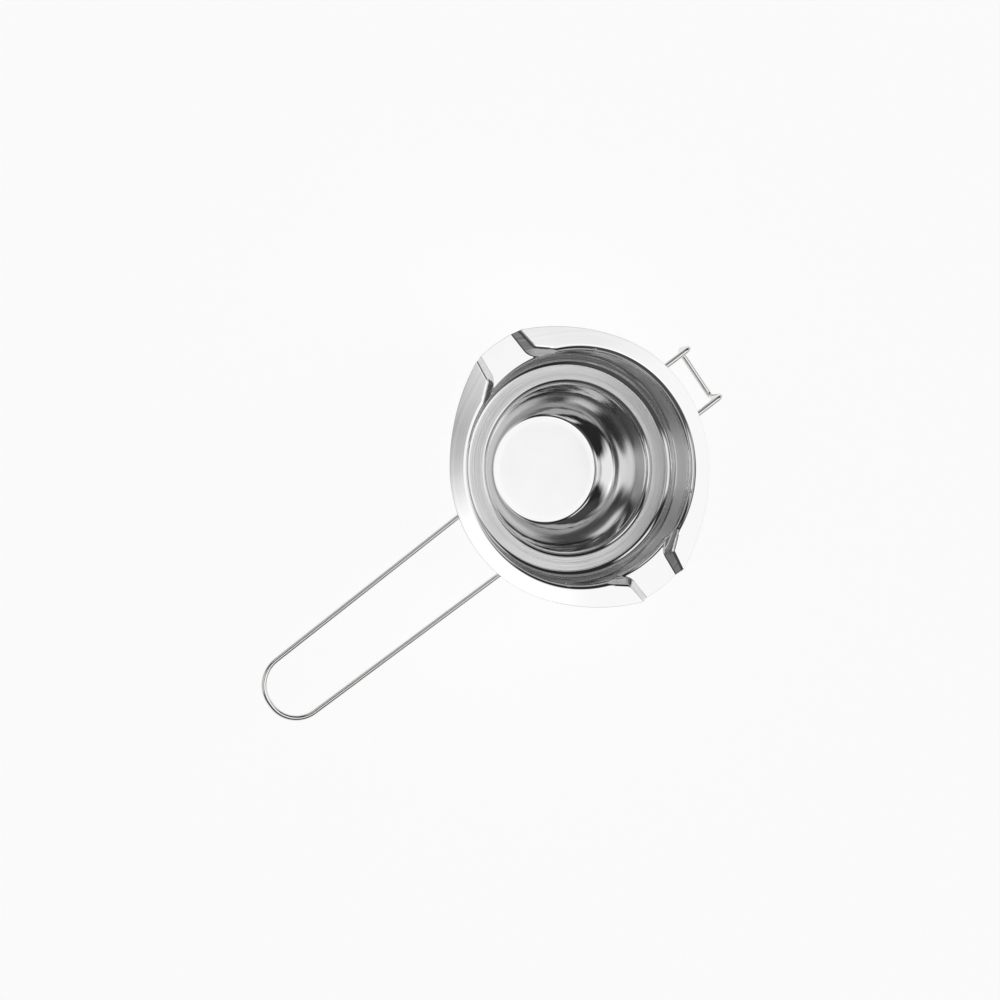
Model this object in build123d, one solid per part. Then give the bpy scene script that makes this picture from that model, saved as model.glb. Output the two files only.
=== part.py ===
from build123d import *
import math
import os

# Insert pan of a double boiler: a stepped bowl pressed from one sheet, a wire handle and a wire rest hook.
# Millimetres and degrees. +Z is up, the table is at zero and the bowl's axis is on Z. The handle points
# along -X, the rest hook along +X, and the two pouring spouts lie along +Y and -Y.

# Bowl: its section from the floor up to the flange, measured on the inner face of the sheet
sheet = 0.6
floor_r = 28.0
floor_crease_round = 3.0
cup_corner_width = 12.8
cup_corner_height = 25.4
cup_wall_height = 12.4
cup_flare = 1.1
ledge_round = 3.5
ledge_width = 12.7
ledge_corner_round = 5.0
upper_depth = 21.8
upper_flare = 2.5
mouth_round = 3.0

# Flange: it falls gently from the mouth to its edge
flange_width = 9.5
flange_fall_angle = 4.0

# Spouts: a shallow channel pressed into each side of the flange, where its outline bulges out
spout_reach = 6.4
spout_lobe_angle = 36.0
spout_throat_width = 29.4
spout_lip_narrowing = 1.6
spout_throat_length = 4.2
spout_flare_width = 56.0
spout_depth = 4.5
spout_side_angle = 45.0
spout_corner_round = 2.6
spout_floor_round = 1.0
spout_edge_round = 1.0

# Wires: how the legs of the handle and of the rest hook stand against the upper wall
leg_length = 15.0
leg_bend_round = 4.5
flange_gap = 0.3
weld_gap = 0.2
weld_length = 10.0
weld_throat = 0.7
weld_end_round = 1.4
wire_end_round = 0.4

# Handle: one wire bent into a long loop
handle_wire = 2.6
handle_reach = 121.6
handle_root_width = 34.8
handle_loop_width = 29.8
loop_round_share = 0.96

# Rest hook: one wire bent into two arms, two short drops and a crossbar
hook_wire = 2.9
hook_reach = 16.2
hook_width = 29.0
hook_drop = 13.5
hook_bend_round = 3.0

# How far a cutting shape runs past what it cuts
overrun = 5.0

# Radii, heights and angles that follow from the sizes above
cup_foot_r = floor_r + cup_corner_width
cup_top_r = cup_foot_r + cup_flare
upper_foot_r = cup_top_r + ledge_width
mouth_r = upper_foot_r + upper_flare
rim_r = mouth_r + flange_width
lip_r = rim_r + spout_reach
wall_height = sheet + cup_corner_height
ledge_height = wall_height + cup_wall_height
rim_height = ledge_height + upper_depth
wall_lean = math.atan2(upper_flare, upper_depth)
flange_slope = math.tan(math.radians(flange_fall_angle))
flange_drop = flange_width * flange_slope
flange_underside = rim_height - flange_drop - sheet
spout_lip_width = spout_throat_width - spout_lip_narrowing


def rounded(face, corner, radius):
    """The face with its corner nearest to the given point rounded."""
    vertex = face.vertices().sort_by_distance((*corner, 0))[0]
    return fillet(vertex, radius)


def inside_section():
    """Half section of the space above the sheet: x is the distance from the axis, y the height."""
    far = lip_r + overrun
    floor_edge = (floor_r, sheet)
    wall_foot = (cup_foot_r, wall_height)
    ledge_edge = (cup_top_r, ledge_height)
    ledge_corner = (upper_foot_r, ledge_height)
    mouth_edge = (mouth_r, rim_height)
    flange_end = (far, rim_height - (far - mouth_r) * flange_slope)
    corner_arc = TangentArc(wall_foot, floor_edge, tangent=(-cup_flare, -cup_wall_height))
    walls = Polyline(wall_foot, ledge_edge, ledge_corner, mouth_edge, flange_end)
    closing = Polyline(flange_end, (far, rim_height + overrun), (0, rim_height + overrun), (0, sheet), floor_edge)
    face = make_face([*corner_arc.edges(), *walls.edges(), *closing.edges()])
    face = rounded(face, floor_edge, floor_crease_round)
    face = rounded(face, ledge_edge, ledge_round)
    face = rounded(face, ledge_corner, ledge_corner_round)
    return rounded(face, mouth_edge, mouth_round)


def spout_plan(growth):
    """Plan of one spout channel at the height of the rim, grown by growth and rounded at its throat."""
    throat = (spout_throat_width / 2, mouth_r + spout_throat_length)
    flare_half = spout_flare_width / 2
    flare = (flare_half, math.sqrt(mouth_r**2 - flare_half**2))
    lip_slant = spout_lip_narrowing / 2 / (lip_r - throat[1])
    flare_slant = (flare[0] - throat[0]) / (throat[1] - flare[1])
    end = (throat[0] - lip_slant * (lip_r + 2 * overrun - throat[1]), lip_r + 2 * overrun)
    inner = (flare[0] + flare_slant * overrun, flare[1] - overrun)
    half = [end, throat, inner]
    mirrored = [(-x, y) for x, y in reversed(half)]
    face = make_face(Polyline(*half, *mirrored, close=True).edges())
    if growth:
        face = offset(face, amount=growth, kind=Kind.INTERSECTION)
    face = rounded(face, throat, spout_corner_round - growth)
    return rounded(face, (-throat[0], throat[1]), spout_corner_round - growth)


def sunk(growth, depth, angle):
    """Space below the spout's plan, its sides leaning in by an angle from the vertical."""
    return extrude(Pos(0, 0, rim_height) * spout_plan(growth), amount=depth, dir=(0, 0, -1), taper=angle)


def spout_spaces(skin):
    """The spaces of both spouts, grown by skin: for each a channel with leaning sides and a shallower one.

    The channel is flared where it meets the mouth. The shallower space eases the channel's edge with one
    facet, which touches the bend of spout_edge_round half way round.
    """
    lean = math.radians(spout_side_angle)
    ease_angle = (math.pi / 2 + lean) / 2
    turn = math.pi / 2 - lean
    ease_width = spout_edge_round * (math.tan(turn / 2) - math.tan(turn / 4))
    channel = sunk(skin / math.cos(lean), spout_depth + skin, spout_side_angle)
    floor_edges = channel.faces().sort_by(Axis.Z)[0].edges()
    long_edges = floor_edges.filter_by(lambda edge: abs(edge.center().X) > spout_floor_round)
    channel = fillet(long_edges, spout_floor_round + skin)
    ease_depth = spout_edge_round * (1 - math.cos(turn)) + skin
    easing = sunk(ease_width + skin / math.cos(ease_angle), ease_depth, math.degrees(ease_angle))
    return [channel, easing, channel.mirror(Plane.XZ), easing.mirror(Plane.XZ)]


def turned_space(skin):
    """The round space above the sheet, without its spouts, grown by skin."""
    section = inside_section()
    if skin:
        section = offset(section, amount=skin)
    reach = lip_r + rim_height
    section = section & Pos(reach / 2, rim_height / 2) * Rectangle(reach, rim_height * 2)
    return revolve(Plane.XZ * section, axis=Axis.Z)


def rim_outline():
    """Plan of the rim: a circle that bulges on two sides into lobes, each cut off by the spout's lip."""
    lobe_start = math.radians(spout_lobe_angle)
    lip_angle = math.acos(spout_lip_width / 2 / lip_r)
    start = (rim_r * math.cos(lobe_start), rim_r * math.sin(lobe_start))
    corner = (lip_r * math.cos(lip_angle), lip_r * math.sin(lip_angle))
    heading = (-math.sin(lobe_start), math.cos(lobe_start))
    side = ThreePointArc((start[0], -start[1]), (rim_r, 0), start)
    lobe = TangentArc(start, corner, tangent=heading)
    lip = ThreePointArc(corner, (0, lip_r), (-corner[0], corner[1]))
    quarter = [*side.edges(), *lobe.edges(), *lip.edges()]
    half = quarter + [lobe.edge().mirror(Plane.YZ), side.edge().mirror(Plane.YZ)]
    other = [lobe.edge().mirror(Plane.XZ), lip.edge().mirror(Plane.XZ)]
    other.append(lobe.edge().mirror(Plane.YZ).mirror(Plane.XZ))
    return make_face(half + other)


def make_bowl():
    """The pressed sheet: what the grown spaces take in within the rim, less the spaces above the sheet."""
    blank = extrude(rim_outline(), amount=rim_height)
    bowl = blank & turned_space(sheet)
    for space in spout_spaces(sheet):
        bowl = bowl + (blank & space)
    bowl = bowl - turned_space(0)
    for space in spout_spaces(0):
        bowl = bowl - space
    return bowl


def inner_wall_r(height):
    """Inner radius of the upper wall at a height above the table."""
    return upper_foot_r + upper_flare * (height - ledge_height) / upper_depth


def arm_height(wire):
    """Height of the centre of a wire that passes just under the flange."""
    return flange_underside - flange_gap - wire / 2


def filled_wall():
    """The upper wall as a plain cone, filled out to its outer face."""
    outward = sheet / math.cos(wall_lean)
    cone = Cone(upper_foot_r + outward, mouth_r + outward, upper_depth)
    return Pos(0, 0, ledge_height + upper_depth / 2) * cone


def leg_point(wire, width, direction, drop):
    """Centre of a wire that leans against the upper wall, at a drop below its arm."""
    stand_off = (sheet + weld_gap + wire / 2) / math.cos(wall_lean)
    arm_r = inner_wall_r(arm_height(wire)) + stand_off
    turn = math.asin(width / 2 / arm_r)
    height = arm_height(wire) - drop
    r = inner_wall_r(height) + stand_off
    return Vector(direction * r * math.cos(turn), r * math.sin(turn), height)


def mirrored_path(points):
    """The points of one side followed by the same points on the other side, back to the start."""
    return points + [Vector(p.X, -p.Y, p.Z) for p in reversed(points)]


def bent_wire(points, radii, wire):
    """Round wire along straight runs joined by bends, its two ends slightly rounded."""
    path = FilletPolyline(*points, radius=radii)
    disc = Plane(origin=path @ 0, z_dir=path % 0) * Circle(wire / 2)
    solid = sweep(disc, path=path)
    ends = [face.edge() for face in solid.faces().filter_by(GeomType.PLANE)]
    return fillet(ends, wire_end_round)


def make_handle():
    """The handle: a leg on the wall, an arm, the round end of the loop, and back."""
    loop_x = handle_wire / 2 - rim_r - handle_reach
    loop_corner = Vector(loop_x, handle_loop_width / 2, arm_height(handle_wire))
    foot = leg_point(handle_wire, handle_root_width, -1, leg_length)
    root = leg_point(handle_wire, handle_root_width, -1, 0)
    points = mirrored_path([foot, root, loop_corner])
    loop_round = handle_loop_width / 2 * loop_round_share
    return bent_wire(points, [leg_bend_round, loop_round, loop_round, leg_bend_round], handle_wire)


def make_rest_hook():
    """The rest hook: a leg on the wall, an arm, a drop to the crossbar, and back."""
    end_x = rim_r + hook_reach - hook_wire / 2
    end = Vector(end_x, hook_width / 2, arm_height(hook_wire))
    bar = end - Vector(0, 0, hook_drop)
    foot = leg_point(hook_wire, hook_width, 1, leg_length)
    root = leg_point(hook_wire, hook_width, 1, 0)
    points = mirrored_path([foot, root, end, bar])
    bends = [leg_bend_round, hook_bend_round, hook_bend_round]
    return bent_wire(points, bends + bends[::-1], hook_wire)


def make_weld(wire, width, direction, side):
    """Weld bead between the lower end of a leg and the wall, cut to touch both of them face to face."""
    radius = wire / 2 + weld_throat
    low = leg_point(wire, width, direction, leg_length)
    high = leg_point(wire, width, direction, leg_length - weld_length)
    inward = Vector(-low.X, -low.Y, 0).normalized() * (wire / 2 + weld_gap / 2)
    along = Plane(origin=low, z_dir=high - low)
    leg = along * Cylinder(wire / 2, 2 * leg_length)
    bar = Cylinder(radius, weld_length, align=(Align.CENTER, Align.CENTER, Align.MIN))
    ends = bar.edges().filter_by(GeomType.CIRCLE)
    bead = Pos(inward) * along * fillet(ends, weld_end_round) - leg - filled_wall()
    return bead.mirror(Plane.XZ) if side < 0 else bead


def main():
    """Makes every piece, writes its STEP file and prints its size."""
    os.makedirs("parts", exist_ok=True)
    nodes = {"bowl": make_bowl(), "handle_wire": make_handle(), "rest_hook_wire": make_rest_hook()}
    for name, side in (("left", 1), ("right", -1)):
        nodes[f"handle_weld_{name}"] = make_weld(handle_wire, handle_root_width, -1, side)
        nodes[f"hook_weld_{name}"] = make_weld(hook_wire, hook_width, 1, side)
    for name, shape in nodes.items():
        export_step(shape, f"parts/{name}.step")
        box = shape.bounding_box()
        print(name, len(shape.solids()), round(shape.volume, 2), box.min, box.max)


main()
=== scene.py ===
"""Insert pan of a double boiler: the pressed bowl, its two bent wires, the studio and the camera."""
import logging
import math
from dataclasses import dataclass
from enum import Enum
from typing import Callable

import bpy
import numpy as np
from mathutils import Matrix, Vector


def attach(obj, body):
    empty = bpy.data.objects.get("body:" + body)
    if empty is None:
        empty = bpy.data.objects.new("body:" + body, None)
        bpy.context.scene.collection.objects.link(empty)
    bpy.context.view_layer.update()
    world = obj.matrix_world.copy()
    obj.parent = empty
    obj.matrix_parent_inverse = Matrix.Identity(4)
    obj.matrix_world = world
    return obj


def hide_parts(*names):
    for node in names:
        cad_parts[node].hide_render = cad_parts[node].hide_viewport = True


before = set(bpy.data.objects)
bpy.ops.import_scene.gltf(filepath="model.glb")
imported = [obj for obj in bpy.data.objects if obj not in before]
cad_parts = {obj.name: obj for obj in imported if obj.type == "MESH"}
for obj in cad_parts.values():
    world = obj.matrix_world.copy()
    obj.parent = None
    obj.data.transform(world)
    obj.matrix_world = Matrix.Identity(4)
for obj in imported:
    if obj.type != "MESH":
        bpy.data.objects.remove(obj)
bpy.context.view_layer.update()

MM = 0.001
GRADIENT_STEP = 0.01
HALVINGS = 26
TINY = 1e-9
LOG = logging.getLogger("insert_pan")
Field = Callable[[np.ndarray], np.ndarray]


class Slot(Enum):
    """Names of material slots of the record, listed beside each piece; nothing reads them, and each piece's
    material comes from its finish.
    """

    PRESSED = "pressed_steel"
    WIRE = "wire_steel"


class Side(Enum):
    """The side of the bowl that a wire stands on, as the sign of its x."""

    HANDLE = -1
    HOOK = 1


def unit(vectors: np.ndarray) -> np.ndarray:
    """Vectors along the last axis, each scaled to a length of one."""
    return vectors / np.linalg.norm(vectors, axis=-1, keepdims=True)


def linear(hex_code: str) -> tuple[float, float, float, float]:
    """Linear colour of an sRGB hex code.

    Args:
        hex_code: Six hex digits, red first.

    Returns:
        Red, green, blue and an alpha of one, as a shader socket takes them.
    """
    srgb = np.array([int(hex_code[i:i + 2], 16) for i in (0, 2, 4)]) / 255
    low = srgb / 12.92
    high = ((srgb + 0.055) / 1.055) ** 2.4
    return (*np.where(srgb <= 0.04045, low, high).tolist(), 1.0)


def add_node(tree: bpy.types.NodeTree, kind: str, inputs: dict | None = None, **settings) -> bpy.types.Node:
    """Adds one node, with its settings, values and links.

    Args:
        tree: Node tree that takes the node.
        kind: Type name of the node.
        inputs: A value or an output socket for each input, by the input's name or number.
        **settings: Attributes of the node itself.

    Returns:
        The new node.
    """
    node = tree.nodes.new(kind)
    for name, value in settings.items():
        setattr(node, name, value)
    for key, value in (inputs or {}).items():
        if isinstance(value, bpy.types.NodeSocket):
            tree.links.new(value, node.inputs[key])
        else:
            node.inputs[key].default_value = value
    return node


def fade(tree: bpy.types.NodeTree, value: bpy.types.NodeSocket, start: float,
         end: float) -> bpy.types.NodeSocket:
    """Adds a node that falls smoothly from one to zero.

    Args:
        tree: Node tree that takes the node.
        value: What is compared.
        start: Value up to which the result is one.
        end: Value from which the result is zero.

    Returns:
        The result.
    """
    return add_node(tree, "ShaderNodeMapRange", {
        "Value": value, "From Min": start, "From Max": end, "To Min": 1.0, "To Max": 0.0},
        interpolation_type="SMOOTHSTEP").outputs["Result"]


def grid_faces(rows: int, columns: int) -> np.ndarray:
    """Quads of a grid whose columns close into a ring.

    Args:
        rows: Number of rows, from the first ring to the last.
        columns: Number of points in each ring.

    Returns:
        One row of four point numbers for each quad, the points being numbered ring by ring.
    """
    row, column = np.meshgrid(np.arange(rows - 1), np.arange(columns), indexing="ij")
    beside = (column + 1) % columns
    here, onward = row * columns, (row + 1) * columns
    return np.stack([here + column, here + beside, onward + beside, onward + column], axis=-1).reshape(-1, 4)


def closed_rings(name: str, rings: np.ndarray, normals: np.ndarray, poles: np.ndarray) -> bpy.types.Object:
    """A closed smooth mesh from a stack of rings with a pole at each end.

    Args:
        name: Name of the new object.
        rings: Points in millimetres, of shape rings x points x 3, wound so that the faces point outwards.
        normals: The surface's own normal at each point of the rings.
        poles: The pole before the first ring and the pole after the last, then their two normals, 4 x 3.

    Returns:
        The object, at the origin, with its place in its mesh.
    """
    rows, columns = rings.shape[:2]
    points = np.concatenate([rings.reshape(-1, 3), poles[:2]]) * MM
    column = np.arange(columns)
    beside = (column + 1) % columns
    first = np.stack([np.full(columns, rows * columns), beside, column], axis=-1)
    last = np.stack([np.full(columns, rows * columns + 1), column, beside], axis=-1)
    last[:, 1:] += (rows - 1) * columns
    faces = grid_faces(rows, columns).tolist() + first.tolist() + last.tolist()
    point_normals = unit(np.concatenate([normals.reshape(-1, 3), poles[2:]]))
    mesh = bpy.data.meshes.new(name)
    mesh.from_pydata(points.tolist(), [], faces)
    mesh.polygons.foreach_set("use_smooth", np.ones(len(mesh.polygons), dtype=bool))
    mesh.normals_split_custom_set_from_vertices(point_normals.tolist())
    piece = bpy.data.objects.new(name, mesh)
    bpy.context.collection.objects.link(piece)
    return piece


def add_values(piece: bpy.types.Object, name: str, values: np.ndarray) -> None:
    """Writes one number for each point of a piece's mesh as a named attribute that a material can read."""
    attribute = piece.data.attributes.new(name, "FLOAT", "POINT")
    attribute.data.foreach_set("value", values.astype(np.float32).ravel())


def outer_corner(first: np.ndarray, second: np.ndarray, cosine: np.ndarray | float,
                 radius: float) -> np.ndarray:
    """Field of the metal that lies inside two surfaces, with the corner between them rounded.

    Each field is the depth below its own surface. Between the two normals at the round's centre the depth
    is the radius less the distance to that centre, and elsewhere it is the smaller of the two depths.

    Args:
        first: Depth below the first surface.
        second: Depth below the second surface.
        cosine: Cosine of the angle between the two surfaces' normals.
        radius: Radius of the round, in millimetres.

    Returns:
        Depth below the joined surface.
    """
    u, v = radius - first, radius - second
    between = (u > v * cosine) & (v > u * cosine)
    span = np.sqrt(np.maximum(u * u + v * v - 2 * u * v * cosine, 0) / (1 - cosine**2 + TINY))
    return np.where(between, radius - span, np.minimum(first, second))


def gradient(field: Field, points: np.ndarray) -> np.ndarray:
    """Gradient of a field, by central differences over one gradient step in millimetres.

    Args:
        field: Function from points to depths.
        points: Points along the last axis.

    Returns:
        The gradient at each point.
    """
    steps = np.eye(3) * (GRADIENT_STEP / 2)
    rises = [field(points + step) - field(points - step) for step in steps]
    return np.stack(rises, axis=-1) / GRADIENT_STEP


def crossing(field: Field, start: np.ndarray, end: np.ndarray) -> np.ndarray:
    """Where a field passes through zero between two points, found by halving the stretch between them.

    Args:
        field: Function from points to depths, positive at the start and negative at the end.
        start: Points in the metal.
        end: Points in the open.

    Returns:
        The points on the surface.
    """
    low, high = start.copy(), end.copy()
    for _ in range(HALVINGS):
        middle = (low + high) / 2
        inside = (field(middle) > 0)[..., None]
        low, high = np.where(inside, middle, low), np.where(inside, high, middle)
    return (low + high) / 2


@dataclass(frozen=True)
class BowlFinish:
    """Where the bowl departs from its plain polish, and by how much.

    Lengths are in millimetres. The rest are shares of the satin's roughness, its lines' depth and the depth
    of the rings that the polishing wheel leaves.
    """

    ledge_from: float = 2.2
    ledge_to: float = 3.4
    ledge_level: float = 0.4
    flat_level: float = 0.1
    floor_satin: float = 0.45
    spout_satin: float = 0.25
    outside_grain: float = 0.5
    wall_from: float = 0.3
    cup_rings: float = 0.35

    def shares(self, bowl: "PressedBowl", rings: np.ndarray, normals: np.ndarray,
               outside_rows: int) -> dict[str, np.ndarray]:
        """The shares at each point of the bowl's rings.

        The ledge is turned satin and so is the outside. The inner floor and the spouts' floors are slightly
        satin. The rings show on steep metal, and less in the lower cup than above the ledge.

        Args:
            bowl: The bowl's sizes.
            rings: Its points, in millimetres.
            normals: Their normals.
            outside_rows: Number of rings, from the first, that are on the underside.

        Returns:
            The shares by the name of the attribute that holds them.
        """
        r, z = np.hypot(rings[..., 0], rings[..., 1]), rings[..., 2]
        on_ledge = (r > bowl.cup_top_r + self.ledge_from) & (r < bowl.upper_foot_r - self.ledge_to)
        ledge = on_ledge & (np.abs(z - bowl.ledge_z) < self.ledge_level)
        on_floor = (z > bowl.sheet / 2) & (z < bowl.sheet + self.flat_level)
        floor = on_floor & (r < bowl.floor_r - bowl.crease_round)
        on_channel = np.abs(z - bowl.rim_z + bowl.channel_depth) < self.flat_level
        spout = on_channel & (r > bowl.mouth_r)
        outside = np.zeros(rings.shape[:2])
        outside[:outside_rows] = 1
        steep = np.sqrt(np.maximum(1 - normals[..., 2]**2, 0))
        return {"satin": ledge + self.floor_satin * floor + self.spout_satin * spout + outside,
                "grain": ledge + self.outside_grain * outside,
                "ringed": steep * np.where(z > bowl.ledge_z + self.wall_from, 1, self.cup_rings)}


@dataclass
class PressedBowl:
    """The bowl: one sheet pressed into a cup, a ledge, an upper wall, a flange and two pouring spouts.

    Sizes are in millimetres and degrees, measured on the inner face of the sheet.
    """

    sheet: float = 0.6
    floor_r: float = 28.0
    crease_round: float = 3.0
    cup_foot_r: float = 40.8
    cup_foot_z: float = 26.0
    cup_top_r: float = 41.9
    ledge_z: float = 38.4
    ledge_round: float = 3.5
    ledge_corner_round: float = 5.0
    upper_foot_r: float = 54.6
    mouth_r: float = 57.1
    rim_z: float = 60.2
    mouth_round: float = 3.0
    flange_fall: float = 4.0
    rim_r: float = 66.6
    lip_r: float = 73.0
    lobe_angle: float = 36.0
    throat_half: float = 14.7
    throat_y: float = 61.3
    lip_half: float = 13.9
    flare_half: float = 28.0
    channel_depth: float = 4.5
    channel_lean: float = 45.0
    throat_round: float = 2.6
    channel_floor_round: float = 1.0
    channel_edge_round: float = 2.4
    cut_edge_round: float = 0.18
    channel_end: float = 5.0
    straight_from_r: float = 61.0
    side_foot_half: float = 8.4
    along_half: float = 15.5
    side_top_half: float = 16.2
    straight_half: float = 26.0
    wall_from_z: float = 50.0
    ray_length: float = 14.0
    plan_reach: float = 20.0
    plan_rows: int = 26
    finish: BowlFinish = BowlFinish()

    @property
    def wall_lean(self) -> float:
        """Angle of the upper wall from the vertical."""
        return math.atan2(self.mouth_r - self.upper_foot_r, self.rim_z - self.ledge_z)

    def turned_field(self, points: np.ndarray) -> np.ndarray:
        """Depth below the round surface of the upper wall and the flange, with the mouth's round."""
        r, z = np.hypot(points[..., 0], points[..., 1]), points[..., 2]
        lean, fall = self.wall_lean, math.radians(self.flange_fall)
        wall = (r - self.mouth_r) * math.cos(lean) + (self.rim_z - z) * math.sin(lean)
        flange = (self.rim_z - z) * math.cos(fall) - (r - self.mouth_r) * math.sin(fall)
        return outer_corner(wall, flange, math.sin(lean - fall), self.mouth_round)

    def channel_field(self, points: np.ndarray) -> np.ndarray:
        """Distance outside the two spout channels.

        In plan a channel is bounded by a side line from the lip to the throat and a flare line from the
        throat to the mouth. The sides lean in with depth down to a flat floor, with a hollow round between.
        """
        x, y, z = np.abs(points[..., 0]), np.abs(points[..., 1]), points[..., 2]
        flare_y = math.sqrt(self.mouth_r**2 - self.flare_half**2)
        side = unit(np.array([self.lip_r - self.throat_y, self.throat_half - self.lip_half]))
        flare = unit(np.array([self.throat_y - flare_y, self.flare_half - self.throat_half]))
        to_side = side[0] * (x - self.throat_half) + side[1] * (y - self.throat_y)
        to_flare = flare[0] * (x - self.throat_half) + flare[1] * (y - self.throat_y)
        plan = outer_corner(to_side, to_flare, float(side @ flare), self.throat_round)
        lean = math.radians(self.channel_lean)
        wall = plan * math.cos(lean) + (self.rim_z - z) * math.sin(lean)
        floor = self.rim_z - self.channel_depth - z
        hollow = -outer_corner(-wall, -floor, math.sin(lean), self.channel_floor_round)
        return np.maximum(hollow, flare_y - self.channel_end - y)

    def field(self, points: np.ndarray) -> np.ndarray:
        """Depth below the bowl's upper surface, the edges of the channels rounded."""
        turned, channel, limit = self.turned_field(points), self.channel_field(points), 0.999
        cosine = (gradient(self.turned_field, points) * gradient(self.channel_field, points)).sum(axis=-1)
        return outer_corner(turned, channel, np.clip(cosine, -limit, limit), self.channel_edge_round)

    def outline_field(self, points: np.ndarray) -> np.ndarray:
        """Distance inside the rim's outline in plan: a circle, two lobes on each side, and the lips' arc."""
        x, y = np.abs(points[..., 0]), np.abs(points[..., 1])
        start = np.array([math.cos(math.radians(self.lobe_angle)), math.sin(math.radians(self.lobe_angle))])
        corner = np.array([self.lip_half, math.sqrt(self.lip_r**2 - self.lip_half**2)])
        shift = (self.lip_r**2 - self.rim_r**2) / 2 / (corner @ start - self.rim_r)
        lobe = self.rim_r - shift - np.hypot(x - shift * start[0], y - shift * start[1])
        r = np.hypot(x, y)
        beyond = np.arctan2(y, x) > math.radians(self.lobe_angle)
        return np.where(beyond, np.minimum(lobe, self.lip_r - r), self.rim_r - r)

    def column_angles(self) -> np.ndarray:
        """Angles of the grid's columns round the axis, from +X, close together where the channels' sides are.

        Near a spout the columns are spaced by their distance from its middle plane, in stretches that are
        each given by their start, their end and their number of columns.

        Returns:
            The angles in radians, in rising order.
        """
        stretches = ((0, self.side_foot_half, 7), (self.side_foot_half, self.throat_half, 23),
                     (self.throat_half, self.side_top_half, 6), (self.side_top_half, self.straight_half, 14))
        near = [np.linspace(start, end, columns, endpoint=False) for start, end, columns in stretches]
        from_spout = np.arcsin(np.concatenate(near) / self.straight_from_r)
        plain_columns, plain_from = 53, np.arcsin(self.straight_half / self.straight_from_r)
        quarter = np.concatenate([from_spout, np.linspace(plain_from, math.pi / 2, plain_columns)])
        near_y, far_y = math.pi / 2, 1.5 * math.pi
        quarters = [near_y - quarter, near_y + quarter, far_y - quarter, far_y + quarter]
        return np.unique(np.round(np.concatenate(quarters) % (2 * math.pi), 9))

    def lower_rows(self, angles: np.ndarray) -> tuple[np.ndarray, np.ndarray]:
        """Rings of the upper surface from the floor up to the middle of the upper wall, and their normals.

        The section is a chain of straight runs and arcs, each tangent to the last: floor, crease, cup
        corner, cup wall, round into the ledge, ledge, corner and upper wall. It is turned about the axis.

        Args:
            angles: Angles of the grid's columns.

        Returns:
            The rings and their normals.
        """
        wall_heading = math.atan2(self.ledge_z - self.cup_foot_z, self.cup_top_r - self.cup_foot_r)
        inward = np.array([-math.sin(wall_heading), math.cos(wall_heading)])
        foot = np.array([self.cup_foot_r, self.cup_foot_z])
        chord = np.array([self.floor_r, self.sheet]) - foot
        corner_round = chord @ chord / (2 * chord @ inward)
        centre = foot + corner_round * inward
        gap = corner_round - self.crease_round
        crease_r = centre[0] + math.sqrt(gap**2 - (centre[1] - self.sheet - self.crease_round)**2)
        crease_turn = math.pi / 2 - math.acos((crease_r - centre[0]) / gap)
        upper_heading = math.pi / 2 - self.wall_lean
        ledge_cut = self.ledge_round * math.tan(wall_heading / 2)
        corner_cut = self.ledge_corner_round * math.tan(upper_heading / 2)
        cup_length = math.hypot(self.cup_top_r - self.cup_foot_r, self.ledge_z - self.cup_foot_z) - ledge_cut
        ledge_length = self.upper_foot_r - self.cup_top_r - ledge_cut - corner_cut
        upper_length = (self.wall_from_z - self.ledge_z) / math.sin(upper_heading) - corner_cut
        # Each run by its length or its radius, its turn and its number of rows.
        runs = [(crease_r, 0, 9), (self.crease_round, crease_turn, 6),
                (corner_round, wall_heading - crease_turn, 18), (cup_length, 0, 5),
                (self.ledge_round, -wall_heading, 14), (ledge_length, 0, 4),
                (self.ledge_corner_round, upper_heading, 9), (upper_length, 0, 4)]
        place, heading = np.array([0.0, self.sheet]), 0.0
        places, headings = [], []
        for size, turn, steps in runs:
            share = np.arange(1, steps + 1) / steps
            angle = heading + turn * share
            if turn:
                way = np.stack([np.sin(angle) - math.sin(heading), math.cos(heading) - np.cos(angle)], -1)
                ahead = size * math.copysign(1, turn) * way
            else:
                ahead = size * share[:, None] * np.array([math.cos(heading), math.sin(heading)])
            places.append(place + ahead)
            headings.append(angle)
            place, heading = places[-1][-1], angle[-1]
        section, angle = np.concatenate(places), np.concatenate(headings)
        around = np.stack([np.cos(angles), np.sin(angles), np.zeros_like(angles)], -1)
        up = np.array([0.0, 0.0, 1.0])
        rings = section[:, None, :1] * around + section[:, None, 1:] * up
        return rings, np.cos(angle)[:, None, None] * up - np.sin(angle)[:, None, None] * around

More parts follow.
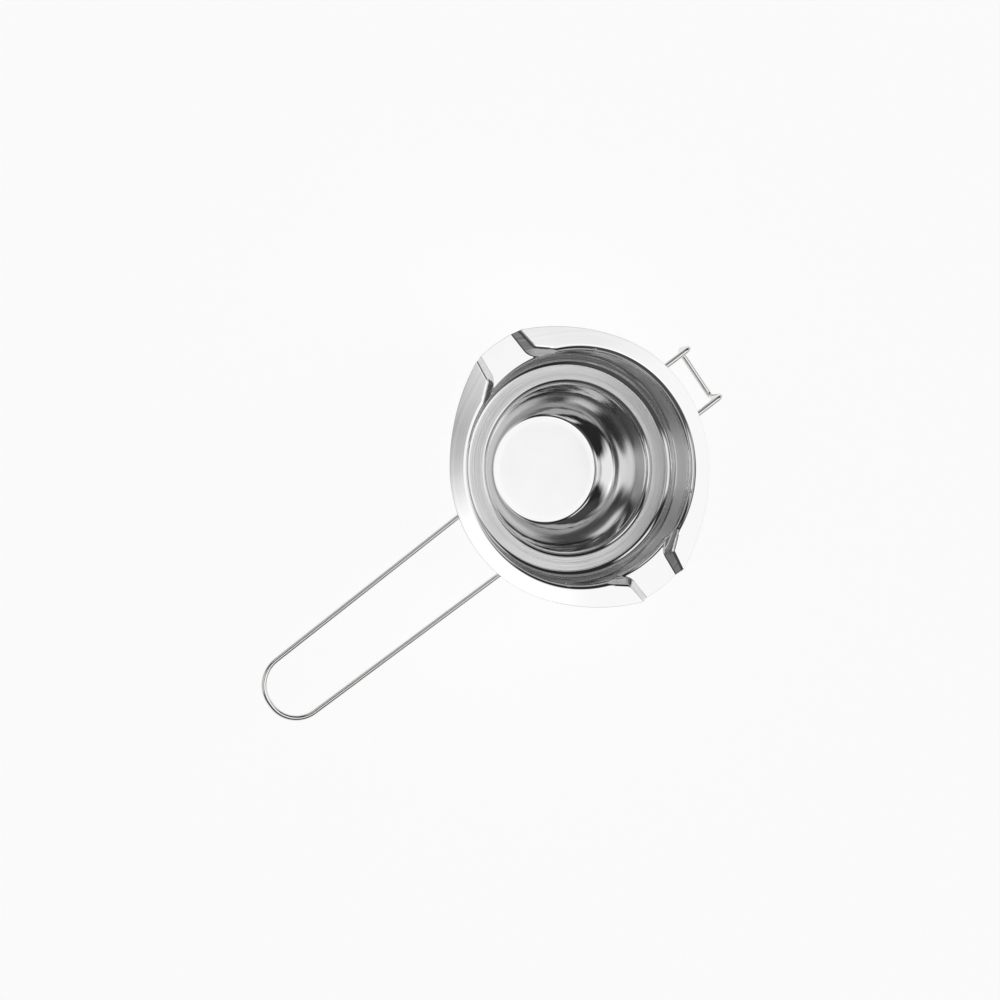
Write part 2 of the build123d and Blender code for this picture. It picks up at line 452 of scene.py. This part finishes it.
    def upper_rows(self, angles: np.ndarray) -> np.ndarray:
        """Rings of the upper surface from the middle of the upper wall out to the rim.

        Over the mouth the points lie on rays from one point in the metal, turned from level to upright.
        Further out they stand over straight plan lines, which run along the channels near a spout and
        straight out elsewhere, up to the outline less the round of the cut edge.

        Args:
            angles: Angles of the grid's columns.

        Returns:
            The rings.
        """
        around = np.stack([np.cos(angles), np.sin(angles), np.zeros_like(angles)], -1)
        up = np.array([0.0, 0.0, 1.0])
        pivot = around * self.straight_from_r + up * self.wall_from_z
        tilt = np.radians(np.concatenate([[10, 19, 27, 33], np.linspace(38, 86, 34), [90]]))[:, None, None]
        far = pivot + self.ray_length * (np.sin(tilt) * up - np.cos(tilt) * around)
        over_mouth = crossing(self.field, np.broadcast_to(pivot, far.shape), far)
        x = pivot[:, 0]
        blend = self.straight_half - self.along_half
        share = np.clip((self.straight_half - np.abs(x)) / blend, 0, 1)[:, None]
        weight = share * share * (3 - 2 * share)
        slant = (self.throat_half - self.lip_half) / (self.lip_r - self.throat_y)
        along = np.stack([-slant * x / self.throat_half, np.sign(pivot[:, 1]), 0 * x], -1)
        heading = unit(weight * along + (1 - weight) * around)
        ends = crossing(lambda points: self.outline_field(points) - self.cut_edge_round,
                        pivot, pivot + self.plan_reach * heading)
        steps = (np.arange(1, self.plan_rows + 1) / self.plan_rows)[:, None, None]
        plan = pivot + (ends - pivot) * steps
        return np.concatenate([over_mouth, crossing(self.field, plan, plan + up * self.ray_length)])

    def edge_rows(self, top: np.ndarray, normals: np.ndarray) -> tuple[np.ndarray, np.ndarray]:
        """Rings round the cut edge, from the underside to the upper side: two small quarter rounds.

        Args:
            top: The last ring of the upper surface.
            normals: Its normals.

        Returns:
            The rings and their normals.
        """
        outline = gradient(self.outline_field, top)
        outward = unit(-outline + (outline * normals).sum(-1, keepdims=True) * normals)
        turn = np.radians([30, 60, 90])[:, None, None]
        upper = outward * np.sin(turn) + normals * np.cos(turn)
        lower = outward * np.sin(turn) - normals * np.cos(turn)
        radius = self.cut_edge_round
        upper_rings = top + radius * (upper - normals)
        lower_rings = top - self.sheet * normals + radius * (lower + normals)
        return np.concatenate([lower_rings, upper_rings[::-1]]), np.concatenate([lower, upper[::-1]])

    def build(self) -> bpy.types.Object:
        """The bowl as one closed surface: underside from its middle outwards, cut edge, upper side back in.

        Returns:
            The bowl's object, with the way along its section from the axis as the attribute run_mm, and with
            the shares of its finish.
        """
        angles = self.column_angles()
        lower, lower_normals = self.lower_rows(angles)
        upper = self.upper_rows(angles)
        upper_normals = -unit(gradient(self.field, upper))
        top, top_normals = np.concatenate([lower, upper]), np.concatenate([lower_normals, upper_normals])
        edge, edge_normals = self.edge_rows(top[-1], top_normals[-1])
        kept = np.concatenate([np.arange(1, len(top) - 1, 2), [len(top) - 1]])
        under, under_normals = (top - self.sheet * top_normals)[kept], -top_normals[kept]
        rings = np.concatenate([under, edge, top[::-1]])
        normals = np.concatenate([under_normals, edge_normals, top_normals[::-1]])
        poles = np.array([[0, 0, 0], [0, 0, self.sheet], [0, 0, -1], [0, 0, 1]])
        piece = closed_rings("pressed_bowl", rings, normals, poles)
        gaps = np.linalg.norm(np.diff(top, axis=0), axis=-1)
        run = np.concatenate([np.hypot(top[:1, :, 0], top[:1, :, 1]), gaps]).cumsum(axis=0)
        rim = np.broadcast_to(run[-1], edge.shape[:2])
        add_values(piece, "run_mm", np.append(np.concatenate([run[kept], rim, run[::-1]]).ravel(), [0, 0]))
        for name, share in self.finish.shares(self, rings, normals, len(under)).items():
            add_values(piece, name, np.append(share.ravel(), [share[0, 0], share[-1, 0]]))
        return piece


def bent_path(corners: np.ndarray, radii: list[float]) -> tuple[np.ndarray, np.ndarray]:
    """Points and tangents along straight runs joined by arcs.

    At a corner the path leaves one run at the radius times the tangent of half the turn before the corner,
    and follows an arc in the plane of the two runs.

    Args:
        corners: The path's two ends and the corners between them, in millimetres.
        radii: Radius of each bend.

    Returns:
        The points and the unit tangents.
    """
    places, tangents = [corners[0]], [unit(corners[1] - corners[0])]
    for before, corner, after, radius in zip(corners, corners[1:], corners[2:], radii):
        ahead, onward = unit(corner - before), unit(after - corner)
        turn = math.acos(ahead @ onward)
        inward = unit(onward - ahead * (ahead @ onward))
        angle = np.linspace(0, turn, 2 + int(turn / math.radians(4)))[:, None]
        start = corner - ahead * radius * math.tan(turn / 2)
        places += list(start + radius * (np.sin(angle) * ahead + (1 - np.cos(angle)) * inward))
        tangents += list(np.cos(angle) * ahead + np.sin(angle) * inward)
    places.append(corners[-1])
    tangents.append(unit(corners[-1] - corners[-2]))
    return np.array(places), np.array(tangents)


@dataclass
class WallSeat:
    """Where the legs of a wire stand against the upper wall, under the flange, in millimetres."""

    bowl: PressedBowl
    flange_width: float = 9.5
    leg_length: float = 15.0
    flange_gap: float = 0.3
    weld_gap: float = 0.2
    leg_bend_round: float = 4.5

    def arm_z(self, wire: float) -> float:
        """Height of the centre of a wire that passes just under the flange."""
        drop = self.flange_width * math.tan(math.radians(self.bowl.flange_fall))
        return self.bowl.rim_z - drop - self.bowl.sheet - self.flange_gap - wire / 2

    def leg(self, wire: float, width: float, side: Side, drop: float) -> np.ndarray:
        """Centre of a wire that leans against the wall.

        Args:
            wire: Diameter of the wire.
            width: Distance between the centres of its two legs.
            side: Side of the bowl that the wire stands on.
            drop: How far below its arm the point lies.

        Returns:
            The point.
        """
        lean = self.bowl.wall_lean
        stand_off = (self.bowl.sheet + self.weld_gap + wire / 2) / math.cos(lean)
        height = np.array([self.arm_z(wire), self.arm_z(wire) - drop])
        arm_r, r = self.bowl.upper_foot_r + (height - self.bowl.ledge_z) * math.tan(lean) + stand_off
        turn = math.asin(width / 2 / arm_r)
        return np.array([side.value * r * math.cos(turn), r * math.sin(turn), height[1]])


@dataclass
class BentWire:
    """One round wire bent along a path that is the same on both sides of the bowl's middle plane."""

    name: str
    wire: float
    end_round: float = 0.4
    end_rows: int = 6
    sides: int = 32

    def build(self, half: np.ndarray, radii: list[float]) -> bpy.types.Object:
        """The wire's closed surface: a circle carried along the path, with rounded ends.

        Args:
            half: Corners of one side of the path, from the leg's foot to the middle.
            radii: Radius of the bend at each corner after the first.

        Returns:
            The wire's object, with the way along it as the attribute along_mm.
        """
        corners = np.concatenate([half, half[::-1] * [1, -1, 1]])
        places, tangents = bent_path(corners, radii + radii[::-1])
        rows = self.end_rows
        turn = np.linspace(0, math.pi / 2, rows)[:, None]
        lead = self.end_round * (1 - np.cos(turn))
        first, last = places[0] + lead * tangents[0], places[-1] - lead[::-1] * tangents[-1]
        places = np.concatenate([first, places[1:-1], last])
        first, last = np.tile(tangents[0], (rows, 1)), np.tile(tangents[-1], (rows, 1))
        tangents = np.concatenate([first, tangents[1:-1], last])
        flat = np.zeros(len(places))
        flat[:rows], flat[-rows:] = np.cos(turn[:, 0]), -np.cos(turn[::-1, 0])
        radius = self.wire / 2 - self.end_round * (1 - np.sqrt(1 - flat**2))
        sideways = [unit(np.cross(tangents[0], [0.0, 1.0, 0.1]))]
        for tangent in tangents[1:]:
            sideways.append(unit(sideways[-1] - tangent * (tangent @ sideways[-1])))
        across = np.array(sideways)
        angle = np.arange(self.sides) * 2 * math.pi / self.sides
        beside = np.cross(tangents, across)
        out = across[:, None] * np.cos(angle)[:, None] + beside[:, None] * np.sin(angle)[:, None]
        rings = places[:, None] + radius[:, None, None] * out
        lift = flat[:, None, None]
        normals = out * np.sqrt(1 - lift**2) - tangents[:, None] * lift
        poles = np.array([places[0], places[-1], -tangents[0], tangents[-1]])
        piece = closed_rings(self.name, rings, normals, poles)
        along = np.concatenate([[0], np.linalg.norm(np.diff(places, axis=0), axis=-1)]).cumsum()
        add_values(piece, "along_mm", np.append(np.repeat(along, self.sides), [0, along[-1]]))
        return piece


@dataclass
class Handle:
    """The long handle: two legs on the wall, two arms and the round end of the loop."""

    seat: WallSeat
    wire: float = 2.6
    reach: float = 121.6
    root_width: float = 34.8
    loop_width: float = 29.8
    loop_round_share: float = 0.96

    def build(self) -> bpy.types.Object:
        """The handle's wire."""
        loop_x = self.wire / 2 - self.seat.bowl.rim_r - self.reach
        foot = self.seat.leg(self.wire, self.root_width, Side.HANDLE, self.seat.leg_length)
        root = self.seat.leg(self.wire, self.root_width, Side.HANDLE, 0)
        loop = np.array([loop_x, self.loop_width / 2, self.seat.arm_z(self.wire)])
        bends = [self.seat.leg_bend_round, self.loop_width / 2 * self.loop_round_share]
        return BentWire("handle_loop", self.wire).build(np.array([foot, root, loop]), bends)


@dataclass
class RestHook:
    """The rest hook: two legs on the wall, two arms, two drops and a crossbar."""

    seat: WallSeat
    wire: float = 2.9
    reach: float = 16.2
    width: float = 29.0
    drop: float = 13.5
    bend_round: float = 3.0

    def build(self) -> bpy.types.Object:
        """The hook's wire."""
        end_x = self.seat.bowl.rim_r + self.reach - self.wire / 2
        foot = self.seat.leg(self.wire, self.width, Side.HOOK, self.seat.leg_length)
        root = self.seat.leg(self.wire, self.width, Side.HOOK, 0)
        end = np.array([end_x, self.width / 2, self.seat.arm_z(self.wire)])
        half = np.array([foot, root, end, end - [0, 0, self.drop]])
        bends = [self.seat.leg_bend_round, self.bend_round, self.bend_round]
        return BentWire("rest_hook", self.wire).build(half, bends)


@dataclass(frozen=True)
class Steel:
    """Stainless steel with polishing lines, slow rings and a slight unevenness, all as bump.

    The lines and rings follow the attribute named as the way, which measures the way over the surface, so
    that they run round a turned form and across a wire. Without it there is only the unevenness. Sizes are in
    millimetres. A piece with a satin finish has three more attributes: satin, the share of the added
    roughness, grain, that of the added depth of the lines, and ringed, that of the rings' depth.
    """

    name: str
    colour: str
    roughness: float
    spread: float
    wave_size: float
    wave_depth: float
    way: str = ""
    line_spacing: float = 1.0
    line_depth: float = 0.0
    ring_spacing: float = 1.0
    ring_depth: float = 0.0
    satin_depth: float = 0.0
    satin_roughness: float = 0.0

    def relief(self, tree: bpy.types.NodeTree, waves: bpy.types.NodeSocket) -> bpy.types.NodeSocket:
        """Adds the nodes of the bump: the waves, then the rings, then the lines.

        Args:
            tree: Node tree of the material.
            waves: Height of the unevenness.

        Returns:
            The bent normal.
        """
        normal = add_node(tree, "ShaderNodeBump", {
            "Height": waves, "Strength": 1.0, "Distance": self.wave_depth * MM}).outputs["Normal"]
        if not self.way:
            return normal
        way = add_node(tree, "ShaderNodeAttribute", attribute_name=self.way).outputs["Fac"]
        depth, ring_depth = self.line_depth * MM, self.ring_depth * MM
        if self.satin_roughness:
            grain, ringed = (add_node(tree, "ShaderNodeAttribute", attribute_name=name).outputs["Fac"]
                             for name in ("grain", "ringed"))
            depth = add_node(tree, "ShaderNodeMath", {0: grain, 1: self.satin_depth * MM, 2: depth},
                             operation="MULTIPLY_ADD").outputs[0]
            ring_depth = add_node(tree, "ShaderNodeMath", {0: ringed, 1: ring_depth},
                                  operation="MULTIPLY").outputs[0]
        for spacing, distance in ((self.ring_spacing, ring_depth), (self.line_spacing, depth)):
            noise = add_node(tree, "ShaderNodeTexNoise", {"W": way, "Scale": 1 / spacing, "Detail": 2.0},
                             noise_dimensions="1D").outputs["Fac"]
            normal = add_node(tree, "ShaderNodeBump", {
                "Height": noise, "Strength": 1.0, "Distance": distance, "Normal": normal}).outputs["Normal"]
        return normal

    def material(self) -> bpy.types.Material:
        """The material."""
        material = bpy.data.materials.new(self.name)
        material.use_nodes = True
        tree = material.node_tree
        tree.nodes.clear()
        place = add_node(tree, "ShaderNodeTexCoord").outputs["Object"]
        waves = add_node(tree, "ShaderNodeTexNoise", {
            "Vector": place, "Scale": 1 / (self.wave_size * MM), "Detail": 1.0}).outputs["Fac"]
        rough = add_node(tree, "ShaderNodeMapRange", {
            "Value": waves, "From Min": 0.3, "From Max": 0.7,
            "To Min": self.roughness, "To Max": self.roughness + self.spread}).outputs["Result"]
        if self.satin_roughness:
            satin = add_node(tree, "ShaderNodeAttribute", attribute_name="satin").outputs["Fac"]
            rough = add_node(tree, "ShaderNodeMath", {0: satin, 1: self.satin_roughness, 2: rough},
                             operation="MULTIPLY_ADD").outputs[0]
        shader = add_node(tree, "ShaderNodeBsdfPrincipled", {
            "Base Color": linear(self.colour), "Metallic": 1.0, "Roughness": rough,
            "Normal": self.relief(tree, waves)})
        add_node(tree, "ShaderNodeOutputMaterial", {"Surface": shader.outputs["BSDF"]})
        return material


# Polished pressed stainless: near mirror, with the slow rings and fine lines that the polishing wheel leaves,
# and a turned satin ledge.
POLISHED = Steel(
    name="polished_pressed_stainless", colour="EEEEEE", roughness=0.03, spread=0.03,
    wave_size=16, wave_depth=0.04, way="run_mm", line_spacing=0.7, line_depth=0.0012,
    ring_spacing=3.0, ring_depth=0.1, satin_depth=0.16, satin_roughness=0.34)
# Drawn stainless wire, barrel polished: a softer mirror.
DRAWN = Steel(
    name="drawn_stainless_wire", colour="E6E6E5", roughness=0.1, spread=0.06,
    wave_size=5, wave_depth=0.004, way="along_mm", line_spacing=0.9, line_depth=0.0006,
    ring_spacing=9, ring_depth=0.004)
# Cleaned weld: brushed bead with ripples a little over a millimetre apart.
BEAD = Steel(
    name="cleaned_weld_bead", colour="BDBBB8", roughness=0.28, spread=0.12, wave_size=1.1, wave_depth=0.12)


def dress(piece: bpy.types.Object, material: bpy.types.Material) -> None:
    """Gives a piece one material in place of any that it has."""
    piece.data.materials.clear()
    piece.data.materials.append(material)


@dataclass(frozen=True)
class SoftBox:
    """One large soft box of the studio light, far away and so given by angles alone.

    Azimuth runs from +X towards +Y and elevation from the floor, in degrees, as are the half sizes and the
    softness, by which the edge fades inwards and outwards.
    """

    azimuth: float
    elevation: float
    half_width: float
    half_height: float
    softness: float
    strength: float

    def axes(self) -> tuple[Vector, Vector, Vector]:
        """The directions from the pan to the box's middle, along its width and along its height."""
        azimuth, elevation = math.radians(self.azimuth), math.radians(self.elevation)
        level = Vector((math.cos(azimuth), math.sin(azimuth), 0))
        middle = level * math.cos(elevation) + Vector((0, 0, math.sin(elevation)))
        width = Vector((-math.sin(azimuth), math.cos(azimuth), 0))
        height = width.cross(middle) * -1
        return middle, width, height

    def light(self, tree: bpy.types.NodeTree, direction: bpy.types.NodeSocket) -> bpy.types.NodeSocket:
        """Adds the nodes that tell how bright the box is in a direction.

        A direction is divided by its part towards the box's middle, which gives its place on the box's
        plane. The brightness falls smoothly across the soft edge on each side.

        Args:
            tree: Node tree of the world.
            direction: Unit vector out of the pan.

        Returns:
            The brightness.
        """
        nodes = [add_node(tree, "ShaderNodeVectorMath", {0: direction, 1: axis}, operation="DOT_PRODUCT")
                 for axis in self.axes()]
        forward, *sideways = (node.outputs["Value"] for node in nodes)
        least = 0.01
        towards = add_node(tree, "ShaderNodeMath", {0: forward, 1: least}, operation="MAXIMUM").outputs[0]
        ahead = add_node(tree, "ShaderNodeMath", {0: forward, 1: least}, operation="GREATER_THAN").outputs[0]
        value = add_node(tree, "ShaderNodeMath", {0: ahead, 1: self.strength}, operation="MULTIPLY").outputs[0]
        soft = math.tan(math.radians(self.softness))
        for dot, half in zip(sideways, (self.half_width, self.half_height)):
            edge = math.tan(math.radians(half))
            place = add_node(tree, "ShaderNodeMath", {0: dot, 1: towards}, operation="DIVIDE").outputs[0]
            away = add_node(tree, "ShaderNodeMath", {0: place}, operation="ABSOLUTE").outputs[0]
            share = fade(tree, away, edge - soft, edge + soft)
            value = add_node(tree, "ShaderNodeMath", {0: value, 1: share}, operation="MULTIPLY").outputs[0]
        return value


# By their place in the picture: large and high on the right, low on the right, on the left, at the top, dim
# and high on the left, wide and very faint at the lower left, and dim overhead.
LIGHTS = (
    SoftBox(-41, 56, 20, 27, 9, 1.07),
    SoftBox(-20, 18, 20, 8, 4, 0.7),
    SoftBox(145, 40, 18, 15, 6, 0.85),
    SoftBox(79, 42, 13, 11, 5, 0.9),
    SoftBox(135, 69, 14, 10, 4, 0.45),
    SoftBox(205, 42, 38, 26, 12, 0.05),
    SoftBox(-110, 80, 12, 8, 5, 0.5),
)


@dataclass
class Studio:
    """The floor, the light round the pan and the camera, in millimetres and degrees."""

    floor_half: float = 3000.0
    floor_gap: float = 0.1
    floor_glow: float = 0.86
    base_light: float = 0.025
    low_light: float = 0.45
    low_until: float = 5.0
    low_fade: float = 20.0
    tilt: float = 16.3
    heading: float = 0.4
    roll: float = -35.0
    focus: tuple[float, float, float] = (40.158, -15.811, 800.0)
    rim_z: float = 60.0
    lens: float = 59.38

    def floor(self) -> None:
        """Lays a plain pale floor just under the base, lit evenly enough to leave no hard shadow."""
        half, z = self.floor_half * MM, -self.floor_gap * MM
        corners = [(-half, -half, z), (half, -half, z), (half, half, z), (-half, half, z)]
        mesh = bpy.data.meshes.new("studio_floor")
        mesh.from_pydata(corners, [], [(0, 1, 2, 3)])
        piece = bpy.data.objects.new("studio_floor", mesh)
        bpy.context.collection.objects.link(piece)
        # White studio paper, lit from below as well: it gives the eye a clean bright ground.
        material = bpy.data.materials.new("lit_studio_paper")
        material.use_nodes = True
        shader = material.node_tree.nodes["Principled BSDF"]
        shader.inputs["Base Color"].default_value = linear("8A8A8A")
        shader.inputs["Roughness"].default_value = 0.9
        shader.inputs["Emission Color"].default_value = linear("FFFFFF")
        shader.inputs["Emission Strength"].default_value = self.floor_glow
        dress(piece, material)

    def light(self) -> None:
        """Lights the pan from all round: soft boxes, a dim room and a bright low horizon.

        What the camera itself sees past the floor is plain pale.
        """
        world = bpy.data.worlds.new("studio_light")
        bpy.context.scene.world = world
        world.use_nodes = True
        tree = world.node_tree
        tree.nodes.clear()
        direction = add_node(tree, "ShaderNodeTexCoord").outputs["Generated"]
        height = add_node(tree, "ShaderNodeSeparateXYZ", {0: direction}).outputs["Z"]
        low = [math.sin(math.radians(angle)) for angle in (self.low_until, self.low_until + self.low_fade)]
        near_floor = fade(tree, height, *low)
        total = add_node(tree, "ShaderNodeMath", {0: near_floor, 1: self.low_light, 2: self.base_light},
                         operation="MULTIPLY_ADD").outputs[0]
        for box in LIGHTS:
            bright = box.light(tree, direction)
            total = add_node(tree, "ShaderNodeMath", {0: total, 1: bright}, operation="ADD").outputs[0]
        lit = add_node(tree, "ShaderNodeBackground", {"Color": linear("FFFFFF"), "Strength": total})
        seen = add_node(tree, "ShaderNodeBackground", {"Color": linear("FAFAFA"), "Strength": 1.0})
        camera_ray = add_node(tree, "ShaderNodeLightPath").outputs["Is Camera Ray"]
        mixed = add_node(tree, "ShaderNodeMixShader", {0: camera_ray, 1: lit.outputs[0], 2: seen.outputs[0]})
        add_node(tree, "ShaderNodeOutputWorld", {"Surface": mixed.outputs[0]})
        bpy.context.scene.view_settings.view_transform = "Standard"

    def camera(self) -> None:
        """Sets the camera where the photograph was taken from.

        The pan's axis, seen from the camera, is tilted towards the picture's right. The pan's own x then
        lies at the roll angle in the picture, as near to it as the tilt lets it.
        """
        tilt, heading, roll = (math.radians(a) for a in (self.tilt, self.heading, self.roll))
        axis = Vector((math.sin(tilt) * math.cos(heading), math.sin(tilt) * math.sin(heading), -math.cos(tilt)))
        level = Vector((math.cos(roll), math.sin(roll), 0))
        x = (level - axis * level.dot(axis)).normalized()
        turn = Matrix((x, axis.cross(x), axis))
        place = -(turn @ Vector(self.focus)) + Vector((0, 0, self.rim_z))
        flip = Matrix.Diagonal((1, -1, -1))
        data = bpy.data.cameras.new("photo_camera")
        data.lens, data.sensor_width, data.clip_end = self.lens, 36, 20
        camera = bpy.data.objects.new("photo_camera", data)
        camera.matrix_world = Matrix.Translation(place * MM) @ (turn @ flip).to_4x4()
        bpy.context.collection.objects.link(camera)
        bpy.context.scene.camera = camera


def main() -> None:
    """Builds the pieces in order, dresses them and sets the studio up."""
    logging.basicConfig(level=logging.INFO, format="%(message)s")
    bowl = PressedBowl()
    seat = WallSeat(bowl)
    made = ((bowl, "bowl", Slot.PRESSED, POLISHED), (Handle(seat), "handle_wire", Slot.WIRE, DRAWN),
            (RestHook(seat), "rest_hook_wire", Slot.WIRE, DRAWN))
    finishes = {finish: finish.material() for finish in (POLISHED, DRAWN, BEAD)}
    for maker, node, slot, finish in made:
        piece = maker.build()
        dress(piece, finishes[finish])
        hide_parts(node)
        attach(piece, "root")
        LOG.info("%s: %d faces", piece.name, len(piece.data.polygons))
    for node in ("handle_weld_left", "handle_weld_right", "hook_weld_left", "hook_weld_right"):
        dress(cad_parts[node], finishes[BEAD])
        LOG.info("%s: %s", node, BEAD.name)
    studio = Studio()
    studio.floor()
    studio.light()
    studio.camera()


if __name__ == "__main__":
    main()
